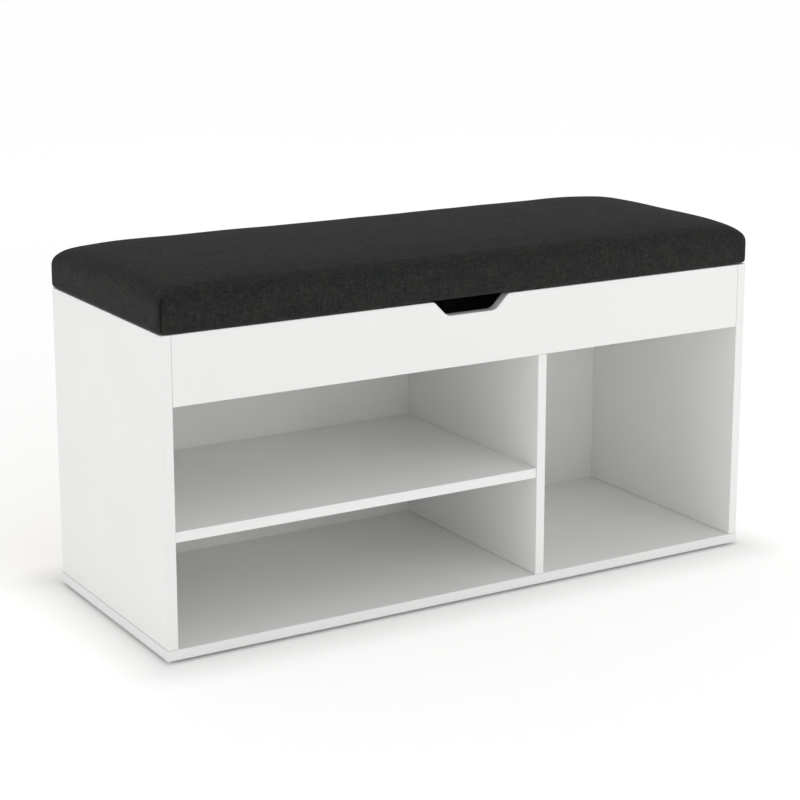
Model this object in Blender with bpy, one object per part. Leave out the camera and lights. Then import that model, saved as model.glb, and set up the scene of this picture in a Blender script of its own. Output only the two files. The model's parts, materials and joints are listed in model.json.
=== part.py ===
"""Entryway storage bench: an open shoe carcass under a hinged, upholstered seat lid.

Metres, +Z up, front towards -Y. The origin is on the floor, under the middle of the outer box.
"""

import math

import bmesh
import bpy
from mathutils import Euler, Matrix, Vector

# ---- Carcass ----
WIDTH = 1.000  # outer faces of the side panels
DEPTH = 0.383  # side panels, front edge to rear edge
CARCASS_HEIGHT = 0.456  # underside of the bottom panel to the top of the sides
BOARD = 0.015  # faced chipboard
BASE_LIP = 0.001  # the bottom panel stands this far past the sides
APRON_HEIGHT = 0.099
DIVIDER_X = 0.115  # middle of the divider
SHELF_UNDERSIDE = 0.1675  # above the underside of the bottom panel
SHELF_SETBACK = 0.0015  # front edge of the shelf behind the front of the sides
BACK_BOARD = 0.003
BACK_INSET = 0.009  # rear edge of the sides to the rear face of the back panel
GROOVE_DEPTH = 0.006
EDGE_ROUND = 0.0006

# ---- Finger notch in the top edge of the apron ----
NOTCH_X = -0.011
NOTCH_WIDTH = 0.134  # between the ends of its two top rounds
NOTCH_DEPTH = 0.0225
NOTCH_SLOPE = math.radians(45)
NOTCH_FOOT_RADIUS = 0.017
NOTCH_LIP_RADIUS = 0.008

# ---- Glides and bumpers ----
GLIDE_HEIGHT = 0.004
GLIDE_RADIUS = 0.011
GLIDE_INSET = 0.030
BUMPER_RADIUS = 0.004
BUMPER_INSET = 0.020

# ---- Seat lid ----
LID_GAP = 0.0018  # top of the carcass to the underside of the lid
SEAT_OVERHANG = 0.0025
SEAT_SIDE = 0.0605  # height of the upright sides of the seat
SEAT_CROWN = 0.010  # rise of the middle of the seat over its sides
SEAT_CORNER = 0.014  # corner radius in plan
SEAT_ROLL = 0.024  # round between the sides and the top
SEAT_EASE = 0.003  # round between the sides and the underside
COVER_THICKNESS = 0.001
COVER_RETURN = 0.038  # fabric turned under the lid board
LID_BOARD = 0.012
DUST_COVER = 0.0008

# ---- Butt hinges ----
HINGE_X = (-0.380, 0.0, 0.380)
HINGE_NAMES = ("left", "middle", "right")
HINGE_LENGTH = 0.060
LEAF_WIDTH = 0.026
LEAF_THICKNESS = 0.0012
KNUCKLE_RADIUS = 0.00275
HINGE_PIN_RADIUS = 0.00125
KNUCKLE_SHARE = 1 / 3  # the lid leaf's knuckle, of the hinge's length

# ---- Lid stays ----
STAY_ARM = 0.120  # between the arm's two holes, and from the hinge axis to its pivot
STAY_PIVOT_DROP = 0.010  # hinge axis down to the arm's pivot
TRACK_SLOPE = math.radians(12.5)
LID_OPENING = math.radians(75)
TRACK_END = 0.009  # track past the front end of the stud's travel
TRACK_TO_RAIL = 0.0032  # rear rail to the rear end of the track
TRACK_WIDTH = 0.013
TRACK_DEPTH = 0.005
TRACK_WALL = 0.001
TRACK_SLOT = 0.0036
ARM_WIDTH = 0.012
ARM_THICKNESS = 0.002
STUD_RADIUS = 0.0015
STUD_HEAD_RADIUS = 0.0045
STUD_HEAD_THICKNESS = 0.002
RIVET_RADIUS = 0.002
RIVET_HEAD_RADIUS = 0.0035
RIVET_HEAD_THICKNESS = 0.001
BRACKET_SHEET = 0.0016
BRACKET_LENGTH = 0.024
BRACKET_FLANGE = 0.018
BRACKET_EAR = 0.007  # ear past the arm's pivot

# ---- Cam locks and panel screws ----
CAM_RADIUS = 0.0075
CAM_HEIGHT = 0.012
CAM_SETBACK = 0.024  # end of the panel to the middle of the cam
CAM_FROM_EDGE = 0.060  # front or rear edge of the panel to the cam
SCREW_RADIUS = 0.0025
SCREW_HEAD_RADIUS = 0.0045
SCREW_HEAD_HEIGHT = 0.003
SCREW_LENGTH = 0.045
SCREW_FROM_EDGE = 0.060

# ---- Clearances ----
GAP = 0.0003  # between pieces that touch
RUNNING = 0.0006  # beside a moving arm
STUD_PLAY = 0.0005  # stud head inside its track

# ---- Places worked out from the sizes above ----
FRONT = (SEAT_OVERHANG - 2 * KNUCKLE_RADIUS - DEPTH) / 2
REAR = FRONT + DEPTH
INNER = WIDTH / 2 - BOARD
BASE = GLIDE_HEIGHT
BAY_FLOOR = BASE + BOARD
TOP = BASE + CARCASS_HEIGHT
STORE_UNDERSIDE = TOP - APRON_HEIGHT
STORE_FLOOR = STORE_UNDERSIDE + BOARD
BACK_REAR = REAR - BACK_INSET
BACK_FRONT = BACK_REAR - BACK_BOARD
SHELF_BOTTOM = BASE + SHELF_UNDERSIDE
LID_UNDERSIDE = TOP + LID_GAP
HINGE_AXIS = Vector((0, REAR + KNUCKLE_RADIUS, LID_UNDERSIDE - KNUCKLE_RADIUS))

# The arm and the line from the hinge axis to its pivot are equally long, so the stud stays on a
# straight track that points at the hinge axis, and the arm turns twice as far as the lid.
PIVOT_ANGLE = math.asin(STAY_PIVOT_DROP / STAY_ARM)
STAY_ANGLE = TRACK_SLOPE - PIVOT_ANGLE
STUD_SHUT = 2 * STAY_ARM * math.cos(STAY_ANGLE)
STUD_OPEN = 2 * STAY_ARM * math.cos(STAY_ANGLE + LID_OPENING)
TRACK_START = (KNUCKLE_RADIUS + BOARD + TRACK_TO_RAIL) / math.cos(TRACK_SLOPE)


def linear(hex_colour):
    """A linear RGBA colour from sRGB hex."""
    channels = [int(hex_colour[i : i + 2], 16) / 255 for i in (0, 2, 4)]
    return [c / 12.92 if c <= 0.04045 else ((c + 0.055) / 1.055) ** 2.4 for c in channels] + [1]


def finish(name, hex_colour, roughness, metallic=0.0):
    """A Principled material."""
    made = bpy.data.materials.new(name)
    made.use_nodes = True
    shader = made.node_tree.nodes["Principled BSDF"]
    shader.inputs["Base Color"].default_value = linear(hex_colour)
    shader.inputs["Roughness"].default_value = roughness
    shader.inputs["Metallic"].default_value = metallic
    return made


def piece_from(bm, name, surface, location=(0, 0, 0)):
    """An object from a bmesh, with its faces turned outwards."""
    bmesh.ops.recalc_face_normals(bm, faces=bm.faces)
    mesh = bpy.data.meshes.new(name)
    bm.to_mesh(mesh)
    bm.free()
    mesh.materials.append(surface)
    piece = bpy.data.objects.new(name, mesh)
    piece.location = location
    bpy.context.scene.collection.objects.link(piece)
    return piece


def ease_edges(piece, width=EDGE_ROUND):
    """Breaks the sharp edges of a panel or plate."""
    bevel = piece.modifiers.new("eased edges", "BEVEL")
    bevel.width = width
    bevel.segments = 1
    bevel.limit_method = "ANGLE"
    bevel.angle_limit = math.radians(50)


def add_box(bm, low, high):
    low, high = Vector(low), Vector(high)
    place = Matrix.Translation((low + high) / 2) @ Matrix.Diagonal((*(high - low), 1))
    bmesh.ops.create_cube(bm, size=1, matrix=place)


def add_rod(bm, start, end, radius, sides=16):
    start, end = Vector(start), Vector(end)
    along = end - start
    turn = along.to_track_quat("Z", "Y").to_matrix().to_4x4()
    place = Matrix.Translation((start + end) / 2) @ turn
    bmesh.ops.create_cone(
        bm,
        cap_ends=True,
        segments=sides,
        radius1=radius,
        radius2=radius,
        depth=along.length,
        matrix=place,
    )


def panel(name, low, high, surface):
    """A board between two corners, with its origin at its middle."""
    middle = (Vector(low) + Vector(high)) / 2
    bm = bmesh.new()
    add_box(bm, Vector(low) - middle, Vector(high) - middle)
    board = piece_from(bm, name, surface, middle)
    ease_edges(board)
    return board


def cut(piece, bm, operation="DIFFERENCE"):
    """Cuts the shapes in a bmesh, which is in world space, out of a piece, or joins them to it."""
    cutter = piece_from(bm, piece.name + "_cutter", piece.data.materials[0])
    cutter.hide_render = True
    cutter.display_type = "WIRE"
    boolean = piece.modifiers.new("cuts", "BOOLEAN")
    boolean.operation = operation
    boolean.object = cutter
    return cutter


def slab(name, outline, along, thickness, surface, location=(0, 0, 0)):
    """An outline extruded along X or Y. Its points are (y, z) or (x, z)."""
    bm = bmesh.new()
    if along == "X":
        corners = [bm.verts.new((0, a, b)) for a, b in outline]
        push = Vector((thickness, 0, 0))
    else:
        corners = [bm.verts.new((a, 0, b)) for a, b in outline]
        push = Vector((0, thickness, 0))
    face = bm.faces.new(corners)
    grown = bmesh.ops.extrude_face_region(bm, geom=[face])["geom"]
    moved = [part for part in grown if isinstance(part, bmesh.types.BMVert)]
    bmesh.ops.translate(bm, verts=moved, vec=push)
    return piece_from(bm, name, surface, location)


def arc(centre_a, centre_b, radius, start, end, steps):
    """Points on an arc, both ends included; angles in radians."""
    angles = [start + (end - start) * i / steps for i in range(steps + 1)]
    return [(centre_a + radius * math.cos(t), centre_b + radius * math.sin(t)) for t in angles]


def add_turned(bm, profile, base, axis, sides):
    """A turned solid. Its profile is (radius, height) from pole to pole, heights along axis."""
    turn = Vector(axis).to_track_quat("Z", "Y")
    rings = []
    for radius, height in profile:
        count = sides if radius else 1
        steps = [2 * math.pi * i / sides for i in range(count)]
        ring = [Vector((radius * math.cos(t), radius * math.sin(t), height)) for t in steps]
        rings.append([bm.verts.new(Vector(base) + turn @ point) for point in ring])
    for lower, upper in zip(rings, rings[1:]):
        for i in range(sides):
            j = (i + 1) % sides
            corners = [lower[i % len(lower)], lower[j % len(lower)]]
            corners += [upper[j % len(upper)], upper[i % len(upper)]]
            bm.faces.new(list(dict.fromkeys(corners)))


def turned(name, profile, base, axis, surface, sides=20):
    """A turned piece, with its own Z along the axis."""
    bm = bmesh.new()
    add_turned(bm, profile, (0, 0, 0), (0, 0, 1), sides)
    piece = piece_from(bm, name, surface, base)
    piece.rotation_euler = Vector(axis).to_track_quat("Z", "Y").to_euler()
    piece.data.shade_smooth()
    piece.data.set_sharp_from_angle(angle=math.radians(35))
    return piece


def hang_on(piece, empty):
    """Makes a piece a child of an unturned empty, and leaves it where it is."""
    piece.parent = empty
    piece.matrix_parent_inverse = Matrix.Translation(-empty.location)


def axis_empty(name, location):
    empty = bpy.data.objects.new(name, None)
    empty.location = location
    empty.empty_display_size = 0.03
    bpy.context.scene.collection.objects.link(empty)
    return empty


def from_edges(low, high, inset):
    """Two places, each the same distance in from one edge."""
    return (low + inset, high - inset)


# ---- Carcass ----


def cam_pockets(bm, places, axis):
    """Blind holes for cam locks. A place is where the pocket's mouth is; axis points out."""
    for place in places:
        out = Vector(axis)
        floor = Vector(place) - out * (CAM_HEIGHT + 2 * GAP)
        add_rod(bm, floor, Vector(place) + out * BOARD, CAM_RADIUS + GAP, 24)


def make_cams(prefix, places, axis, surface):
    """Cam locks, flush in their pockets, each with a driver recess."""
    profile = [
        (0, -CAM_HEIGHT - GAP),
        (CAM_RADIUS, -CAM_HEIGHT - GAP),
        (CAM_RADIUS, -GAP),
        (CAM_RADIUS * 0.4, -GAP),
        (0, -GAP - CAM_RADIUS * 0.4),
    ]
    for number, place in enumerate(places, 1):
        turned(f"{prefix}_cam_{number}", profile, place, axis, surface)


def screw_holes(bm, places, axis):
    """Stepped holes through a panel for its screws. A place is at the hole's mouth."""
    head = SCREW_HEAD_HEIGHT + 2 * GAP
    profile = [
        (0, -2 * BOARD),
        (SCREW_RADIUS + GAP, -2 * BOARD),
        (SCREW_RADIUS + GAP, -head),
        (SCREW_HEAD_RADIUS + GAP, -head),
        (SCREW_HEAD_RADIUS + GAP, BOARD),
        (0, BOARD),
    ]
    for place in places:
        add_turned(bm, profile, place, axis, 16)


def make_screws(prefix, places, axis, surface):
    profile = [
        (0, -SCREW_LENGTH),
        (SCREW_RADIUS, -SCREW_LENGTH + SCREW_RADIUS),
        (SCREW_RADIUS, -SCREW_HEAD_HEIGHT - GAP),
        (SCREW_HEAD_RADIUS, -SCREW_HEAD_HEIGHT - GAP),
        (SCREW_HEAD_RADIUS, -GAP),
        (SCREW_RADIUS * 0.8, -GAP),
        (0, -GAP - SCREW_RADIUS),
    ]
    for number, place in enumerate(places, 1):
        turned(f"{prefix}_screw_{number}", profile, place, axis, surface, 12)


def bottom_screw_places():
    places = []
    for x in (-WIDTH / 2 + BOARD / 2, DIVIDER_X, WIDTH / 2 - BOARD / 2):
        places += [(x, y, BASE) for y in from_edges(FRONT, REAR, SCREW_FROM_EDGE)]
    return places


def floor_screw_places():
    return [(DIVIDER_X, y, STORE_FLOOR) for y in from_edges(FRONT, REAR, SCREW_FROM_EDGE)]


def shelf_cam_places():
    ends = from_edges(-INNER, DIVIDER_X - BOARD / 2, CAM_SETBACK)
    rows = from_edges(FRONT, BACK_FRONT, CAM_FROM_EDGE)
    return [(x, y, SHELF_BOTTOM) for x in ends for y in rows]


def floor_cam_places():
    ends = from_edges(-INNER, INNER, CAM_SETBACK)
    rows = from_edges(FRONT + BOARD, REAR - BOARD, CAM_FROM_EDGE)
    return [(x, y, STORE_UNDERSIDE) for x in ends for y in rows]


def apron_cam_places():
    middle = (STORE_FLOOR + TOP) / 2
    return [(x, FRONT + BOARD, middle) for x in from_edges(-INNER, INNER, CAM_SETBACK)]


def rail_cam_places():
    middle = (STORE_FLOOR + TOP) / 2
    return [(x, REAR - BOARD, middle) for x in from_edges(-INNER, INNER, CAM_SETBACK)]


def make_bottom_panel(white):
    half = WIDTH / 2 + BASE_LIP
    board = panel("bottom_panel", (-half, FRONT, BASE), (half, REAR, BAY_FLOOR), white)
    bm = bmesh.new()
    low = (-INNER - GROOVE_DEPTH, BACK_FRONT - GAP, BAY_FLOOR - GROOVE_DEPTH)
    add_box(bm, low, (INNER + GROOVE_DEPTH, BACK_REAR + GAP, BAY_FLOOR + BOARD))
    screw_holes(bm, bottom_screw_places(), (0, 0, -1))
    cut(board, bm)


def make_side_panel(name, side, white):
    """A side panel, grooved for the back panel up to the rear rail, with two screw holes."""
    faces = sorted((side * INNER, side * WIDTH / 2))
    low = (faces[0], FRONT, BAY_FLOOR + GAP)
    board = panel(name, low, (faces[1], REAR, TOP), white)
    bm = bmesh.new()
    groove = sorted((side * (INNER - BOARD), side * (INNER + GROOVE_DEPTH)))
    rear = BACK_REAR + GAP
    high = (groove[1], rear, STORE_UNDERSIDE + GROOVE_DEPTH)
    add_box(bm, (groove[0], BACK_FRONT - GAP, BAY_FLOOR - BOARD), high)
    for x, y, _ in bottom_screw_places():
        if x * side > INNER:
            start = (x, y, BAY_FLOOR - BOARD)
            add_rod(bm, start, (x, y, BASE + SCREW_LENGTH + GAP), SCREW_RADIUS + GAP)
    cut(board, bm)


def make_divider(white):
    low = (DIVIDER_X - BOARD / 2, FRONT, BAY_FLOOR + GAP)
    high = (DIVIDER_X + BOARD / 2, BACK_FRONT - GAP, STORE_UNDERSIDE - GAP)
    board = panel("divider_panel", low, high, white)
    bm = bmesh.new()
    for y in from_edges(FRONT, REAR, SCREW_FROM_EDGE):
        foot = (DIVIDER_X, y, BAY_FLOOR - BOARD)
        add_rod(bm, foot, (DIVIDER_X, y, BASE + SCREW_LENGTH + GAP), SCREW_RADIUS + GAP)
        head = (DIVIDER_X, y, STORE_FLOOR)
        add_rod(bm, head, (DIVIDER_X, y, STORE_FLOOR - SCREW_LENGTH - GAP), SCREW_RADIUS + GAP)
    cut(board, bm)


def make_shelf(white):
    low = (-INNER + GAP, FRONT + SHELF_SETBACK, SHELF_BOTTOM)
    high = (DIVIDER_X - BOARD / 2 - GAP, BACK_FRONT - GAP, SHELF_BOTTOM + BOARD)
    board = panel("shelf", low, high, white)
    bm = bmesh.new()
    cam_pockets(bm, shelf_cam_places(), (0, 0, -1))
    cut(board, bm)


def make_storage_floor(white):
    low = (-INNER + GAP, FRONT + BOARD + GAP, STORE_UNDERSIDE)
    high = (INNER - GAP, REAR - BOARD - GAP, STORE_FLOOR)
    board = panel("storage_floor", low, high, white)
    bm = bmesh.new()
    cam_pockets(bm, floor_cam_places(), (0, 0, -1))
    screw_holes(bm, floor_screw_places(), (0, 0, 1))
    cut(board, bm)


def notch_outline():
    """The notch from left to right: lip round, slope, foot round, flat, and the mirror of it."""
    slope = NOTCH_SLOPE
    half, up, down = NOTCH_WIDTH / 2, math.pi / 2, 3 * math.pi / 2
    lip = arc(-half, -NOTCH_LIP_RADIUS, NOTCH_LIP_RADIUS, up, up - slope, 4)
    rounds = (NOTCH_LIP_RADIUS + NOTCH_FOOT_RADIUS) * math.tan(slope / 2)
    flat = half - rounds - NOTCH_DEPTH / math.tan(slope)
    centre = NOTCH_FOOT_RADIUS - NOTCH_DEPTH
    foot = arc(-flat, centre, NOTCH_FOOT_RADIUS, down - slope, down, 6)
    left = lip + foot
    return left + [(-x, z) for x, z in reversed(left)]


def make_apron(white):
    """The front apron, its outline read round from the lower left corner."""
    half = INNER - GAP
    outline = [(half, 0), (-half, 0), (-half, APRON_HEIGHT)]
    outline += [(NOTCH_X + x, APRON_HEIGHT + z) for x, z in notch_outline()]
    outline.append((half, APRON_HEIGHT))
    place = (0, FRONT, STORE_UNDERSIDE)
    board = slab("front_apron", outline, "Y", BOARD, white, place)
    ease_edges(board)
    bm = bmesh.new()
    cam_pockets(bm, apron_cam_places(), (0, 1, 0))
    cut(board, bm)


def make_rear_rail(white):
    """The rail under the hinges, grooved below for the top of the back panel."""
    low = (-INNER + GAP, REAR - BOARD, STORE_UNDERSIDE)
    board = panel("rear_rail", low, (INNER - GAP, REAR, TOP), white)
    bm = bmesh.new()
    start = (-WIDTH / 2, BACK_FRONT - GAP, STORE_UNDERSIDE - BOARD)
    add_box(bm, start, (WIDTH / 2, BACK_REAR + GAP, STORE_UNDERSIDE + GROOVE_DEPTH))
    cam_pockets(bm, rail_cam_places(), (0, -1, 0))
    cut(board, bm)


def make_back_panel(white):
    half = INNER + GROOVE_DEPTH - GAP
    low = (-half, BACK_FRONT, BAY_FLOOR - GROOVE_DEPTH + GAP)
    panel("back_panel", low, (half, BACK_REAR, STORE_UNDERSIDE + GROOVE_DEPTH - GAP), white)


def make_glides(plastic):
    """Nail-on glides under both sides and the divider, front and rear."""
    height = GLIDE_HEIGHT - GAP
    chamfer = height / 3
    profile = [
        (0, 0),
        (GLIDE_RADIUS - chamfer, 0),
        (GLIDE_RADIUS, chamfer),
        (GLIDE_RADIUS, height),
        (0, height),
    ]
    left, right = from_edges(-WIDTH / 2, WIDTH / 2, GLIDE_INSET)
    columns = {"left": left, "middle": DIVIDER_X, "right": right}
    rows = dict(zip(("front", "rear"), from_edges(FRONT, REAR, GLIDE_INSET)))
    for column, x in columns.items():
        for row, y in rows.items():
            turned(f"{row}_{column}_glide", profile, (x, y, 0), (0, 0, 1), plastic)


def make_bumpers(rubber):
    """Soft pads near the front of the sides, which the lid comes down on."""
    height = LID_GAP - 2 * GAP
    profile = [(0, 0), (BUMPER_RADIUS, 0), (BUMPER_RADIUS, height), (0, height)]
    for name, side in (("left_bumper", -1), ("right_bumper", 1)):
        place = (side * (WIDTH / 2 - BOARD / 2), FRONT + BUMPER_INSET, TOP + GAP)
        turned(name, profile, place, (0, 0, 1), rubber, 16)


# ---- Seat lid ----


def seat_outline(inset, height):
    """A rounded rectangle that lies this far inside the seat's outer edge."""
    half_x = WIDTH / 2 + SEAT_OVERHANG - inset
    half_y = DEPTH / 2 + SEAT_OVERHANG - inset
    middle = (FRONT + REAR) / 2
    radius = max(SEAT_CORNER - inset, SEAT_CORNER / 4)
    points = []
    for quarter, (sx, sy) in enumerate(((1, 1), (-1, 1), (-1, -1), (1, -1))):
        start = quarter * math.pi / 2
        centre = (sx * (half_x - radius), middle + sy * (half_y - radius))
        points += arc(*centre, radius, start, start + math.pi / 2, 3)
    return [(x, y, height) for x, y in points]


def seat_lower(skin):
    """Insets and heights of the eased edge under the seat's sides, this deep inside its skin."""
    eased = SEAT_EASE + skin * math.tan(math.pi / 8)
    return [(eased, LID_UNDERSIDE + skin), (skin, LID_UNDERSIDE + eased)]


def seat_upper(skin):
    """Insets and heights of the seat's sides, rolled edge and crown, this deep inside its skin."""
    side_top = LID_UNDERSIDE + SEAT_SIDE
    centre = side_top - SEAT_ROLL
    radius = SEAT_ROLL - skin
    profile = [(skin, centre)]
    for step in range(1, 4):
        turn = math.radians(22 * step)
        profile.append((skin + radius * (1 - math.cos(turn)), centre + radius * math.sin(turn)))
    inset, height = profile[-1]
    reach = DEPTH / 2 - inset
    rise = side_top + SEAT_CROWN - skin - height
    for share in (0.12, 0.3, 0.55, 0.8, 0.97):
        profile.append((inset + reach * share, height + rise * (1 - (1 - share) ** 2.4)))
    return profile


def bridge(bm, rings):
    for lower, upper in zip(rings, rings[1:]):
        for i in range(len(lower)):
            j = (i + 1) % len(lower)
            bm.faces.new((lower[i], lower[j], upper[j], upper[i]))


def seat_rings(bm, profile):
    return [[bm.verts.new(p) for p in seat_outline(inset, z)] for inset, z in profile]


def seat_solid(name, profile, surface, location):
    bm = bmesh.new()
    rings = seat_rings(bm, profile)
    bridge(bm, rings)
    bm.faces.new(rings[0])
    bm.faces.new(rings[-1])
    return finish_seat_piece(bm, name, surface, location)


def finish_seat_piece(bm, name, surface, location):
    bmesh.ops.translate(bm, verts=bm.verts, vec=-Vector(location))
    piece = piece_from(bm, name, surface, location)
    piece.data.shade_smooth()
    piece.data.set_sharp_from_angle(angle=math.radians(35))
    return piece


def make_seat(lid_axis, fabric, foam, chipboard, felt):
    """Lid board, foam, cover and dust cover. Each has its origin on the hinge axis."""
    inside = COVER_THICKNESS + GAP
    board_high = LID_UNDERSIDE + inside + LID_BOARD
    place = tuple(HINGE_AXIS)
    board_profile = seat_lower(inside) + [(inside, board_high)]
    board = seat_solid("lid_board", board_profile, chipboard, place)

    pad_profile = [(inside, board_high + GAP)] + seat_upper(inside)
    pad = seat_solid("seat_foam", pad_profile, foam, place)

    bm = bmesh.new()
    layers = []
    for skin in (0, COVER_THICKNESS):
        hem = [(COVER_RETURN, LID_UNDERSIDE + skin)] + seat_lower(skin)
        layers.append(seat_rings(bm, hem + seat_upper(skin)))
    outside, lining = layers
    bridge(bm, outside)
    bridge(bm, lining)
    bridge(bm, [outside[0], lining[0]])
    bm.faces.new(outside[-1])
    bm.faces.new(lining[-1])
    cover = finish_seat_piece(bm, "seat_cover", fabric, place)

    edge, under = COVER_RETURN + GAP, LID_UNDERSIDE + COVER_THICKNESS
    sheet = [(edge, under - DUST_COVER), (edge, under)]
    dust = seat_solid("dust_cover", sheet, felt, place)
    for piece in (board, pad, cover, dust):
        hang_on(piece, lid_axis)


# ---- Hinges ----


def leaf_outline():
    """A leaf rolled round its pin: (y, z) from the pin, with the leaf hanging down behind it."""
    outer = KNUCKLE_RADIUS
    inner = outer - LEAF_THICKNESS
    tip = math.radians(-75)
    outside = arc(0, 0, outer, math.pi, tip, 12)
    inside = arc(0, 0, inner, tip, math.pi, 12)
    return [(-outer, -LEAF_WIDTH)] + outside + inside + [(-inner, -LEAF_WIDTH)]


def make_leaf(name, x, turn, keep_middle, steel):
    """A hinge leaf. The lid leaf keeps the middle knuckle and the rail leaf the two outer ones."""
    start = -HINGE_LENGTH / 2
    leaf = slab(name, leaf_outline(), "X", HINGE_LENGTH, steel)
    leaf.data.transform(Matrix.Translation((start, 0, 0)))
    leaf.location = (x, HINGE_AXIS.y, HINGE_AXIS.z)
    leaf.rotation_euler = Euler((turn, 0, 0))
    reach = KNUCKLE_RADIUS + 2 * GAP
    middle = HINGE_LENGTH * KNUCKLE_SHARE / 2
    spans = [(-middle - GAP / 2, middle + GAP / 2)]
    if keep_middle:
        spans = [(start - GAP, -middle + GAP / 2), (middle - GAP / 2, -start + GAP)]
    bm = bmesh.new()
    for low, high in spans:
        add_box(bm, (low, -reach, -reach), (high, reach, reach))
    cutter = cut(leaf, bm)
    cutter.location = leaf.location
    cutter.rotation_euler = leaf.rotation_euler
    leaf.data.shade_smooth()
    leaf.data.set_sharp_from_angle(angle=math.radians(40))
    return leaf


def make_hinges(lid_axis, steel):
    for label, x in zip(HINGE_NAMES, HINGE_X):
        make_leaf(f"{label}_hinge_rail_leaf", x, 0, False, steel)
        leaf = make_leaf(f"{label}_hinge_lid_leaf", x, -math.pi / 2, True, steel)
        hang_on(leaf, lid_axis)
        length = HINGE_LENGTH
        profile = [(0, 0), (HINGE_PIN_RADIUS, 0), (HINGE_PIN_RADIUS, length), (0, length)]
        start = (x - length / 2, HINGE_AXIS.y, HINGE_AXIS.z)
        turned(f"{label}_hinge_pin", profile, start, (1, 0, 0), steel, 12)


# ---- Lid stays ----


def along_track(distance, side, depth):
    """A point on the track's middle line, this far from the hinge axis and off the side panel."""
    return Vector((
        side * (INNER - depth),
        HINGE_AXIS.y - distance * math.cos(TRACK_SLOPE),
        HINGE_AXIS.z - distance * math.sin(TRACK_SLOPE),
    ))


def arm_depth():
    """Side panel to the near face of the arm."""
    return GAP + TRACK_DEPTH + RUNNING


def make_track(name, side, zinc):
    """A channel with a slot in its face, closed towards the side panel.

    A plug at its rear end stops the stud when the lid is open.
    """
    half = TRACK_WIDTH / 2
    slot = TRACK_SLOT / 2
    wall = TRACK_WALL
    near = [(0, -half), (0, half), (TRACK_DEPTH, half), (TRACK_DEPTH, slot)]
    far = [(TRACK_DEPTH - wall, slot), (TRACK_DEPTH - wall, half - wall), (wall, half - wall)]
    section = near + far
    section += [(wall, wall - half), (TRACK_DEPTH - wall, wall - half), (TRACK_DEPTH - wall, -slot)]
    section += [(TRACK_DEPTH, -slot), (TRACK_DEPTH, -half)]
    outline = [(-side * depth, height) for depth, height in section]
    length = STUD_SHUT + TRACK_END - TRACK_START
    start = along_track(TRACK_START, side, GAP)
    channel = slab(name, outline, "Y", -length, zinc, start)
    channel.rotation_euler = Euler((TRACK_SLOPE, 0, 0))
    bm = bmesh.new()
    across = sorted((-side * wall / 2, side * (wall / 2 - TRACK_DEPTH)))
    up = half - wall / 2
    stop = TRACK_START - (STUD_OPEN - STUD_HEAD_RADIUS - STUD_PLAY)
    add_box(bm, (across[0], stop, -up), (across[1], -GAP, up))
    plug = cut(channel, bm, "UNION")
    plug.location = channel.location
    plug.rotation_euler = channel.rotation_euler


def make_arm(name, side, pivot, zinc):
    """A flat bar with round ends and a hole at each, drawn from its pivot towards the front."""
    half = ARM_WIDTH / 2
    outline = arc(0, 0, half, -math.pi / 2, math.pi / 2, 10)
    outline += arc(-STAY_ARM, 0, half, math.pi / 2, 3 * math.pi / 2, 10)
    bar = slab(name, outline, "X", -side * ARM_THICKNESS, zinc)
    bar.location = pivot
    bar.rotation_euler = Euler((TRACK_SLOPE + STAY_ANGLE, 0, 0))
    bm = bmesh.new()
    for y, radius in ((0, RIVET_RADIUS), (-STAY_ARM, STUD_RADIUS)):
        add_rod(bm, (-BOARD, y, 0), (BOARD, y, 0), radius + GAP)
    cutter = cut(bar, bm)
    cutter.location = bar.location
    cutter.rotation_euler = bar.rotation_euler
    return bar


def make_stud(name, side, zinc):
    """The stud in the arm's front end: its head runs in the track."""
    low = GAP + TRACK_WALL + STUD_PLAY
    arm_far = arm_depth() + ARM_THICKNESS
    place = along_track(STUD_SHUT, side, low)
    cap = arm_far + GAP - low
    profile = [
        (0, 0),
        (STUD_HEAD_RADIUS, 0),
        (STUD_HEAD_RADIUS, STUD_HEAD_THICKNESS),
        (STUD_RADIUS, STUD_HEAD_THICKNESS),
        (STUD_RADIUS, cap),
        (2 * STUD_RADIUS, cap),
        (2 * STUD_RADIUS, cap + RIVET_HEAD_THICKNESS),
        (0, cap + RIVET_HEAD_THICKNESS),
    ]
    return turned(name, profile, place, (-side, 0, 0), zinc, 16)


def make_bracket(name, side, pivot, zinc):
    """An angle under the lid: its ear holds the arm's pivot and its flange is screwed on."""
    ear_near = arm_depth() + ARM_THICKNESS + GAP
    top = LID_UNDERSIDE - GAP
    foot = pivot.z - BRACKET_EAR
    profile = [(0, foot), (0, top), (BRACKET_FLANGE, top)]
    profile += [(BRACKET_FLANGE, top - BRACKET_SHEET), (BRACKET_SHEET, top - BRACKET_SHEET)]
    profile.append((BRACKET_SHEET, foot))
    start = (side * (INNER - ear_near), pivot.y - BRACKET_LENGTH / 2, 0)
    angle = slab(name, [(-side * x, z) for x, z in profile], "Y", BRACKET_LENGTH, zinc, start)
    ease_edges(angle, BRACKET_SHEET / 4)
    bm = bmesh.new()
    add_rod(bm, pivot - Vector((BOARD, 0, 0)), pivot + Vector((BOARD, 0, 0)), RIVET_RADIUS + GAP)
    cut(angle, bm)
    return angle


def make_rivet(name, side, pivot, zinc):
    """The pivot through the arm and the bracket's ear, headed at both ends."""
    head = RIVET_HEAD_THICKNESS
    near = arm_depth() - GAP - head
    far = arm_depth() + ARM_THICKNESS + GAP + BRACKET_SHEET + GAP - near
    profile = [
        (0, 0),
        (RIVET_HEAD_RADIUS, 0),
        (RIVET_HEAD_RADIUS, head),
        (RIVET_RADIUS, head),
        (RIVET_RADIUS, far),
        (RIVET_HEAD_RADIUS, far),
        (RIVET_HEAD_RADIUS, far + head),
        (0, far + head),
    ]
    place = (side * (INNER - near), pivot.y, pivot.z)
    return turned(name, profile, place, (-side, 0, 0), zinc, 16)


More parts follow.
